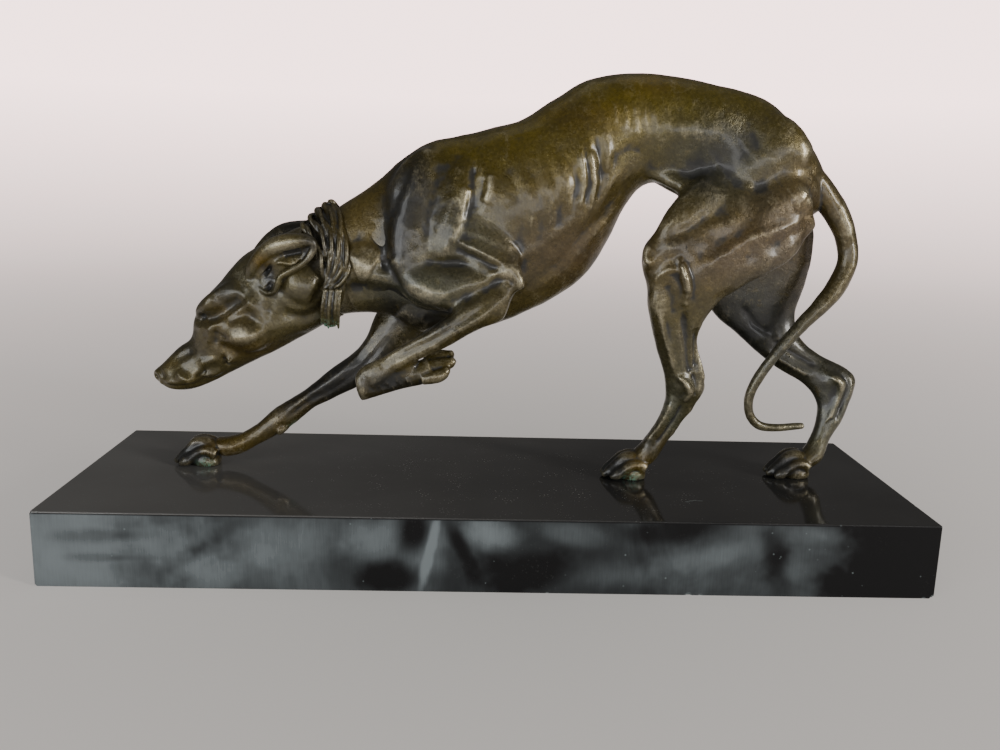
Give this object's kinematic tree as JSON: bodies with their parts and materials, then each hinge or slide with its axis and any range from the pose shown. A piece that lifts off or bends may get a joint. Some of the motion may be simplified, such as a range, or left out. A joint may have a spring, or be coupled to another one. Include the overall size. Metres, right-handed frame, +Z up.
{
  "type": "dog statue",
  "caption": "Cast bronze hound in a low stalking walk, one forepaw raised and a scarf round its neck, on a polished black marble plinth.",
  "frame": {"origin": "centre of the plinth's underside", "axes": "+Z up; +X along the plinth from the hound's head end to its tail end; +Y across the plinth towards the hound's right side"},
  "size_m": [0.6, 0.2, 0.3444],
  "materials": {
    "patinated_bronze": "dark brown and olive patina on cast bronze, rubbed golden on the raised forms, lightly waxed",
    "black_marble": "polished black marble with fine dust, faint smears and small chips along its edges"
  },
  "bodies": {
    "root": {"greyhound": "patinated_bronze", "plinth": "black_marble"}
  },
  "joints": []
}
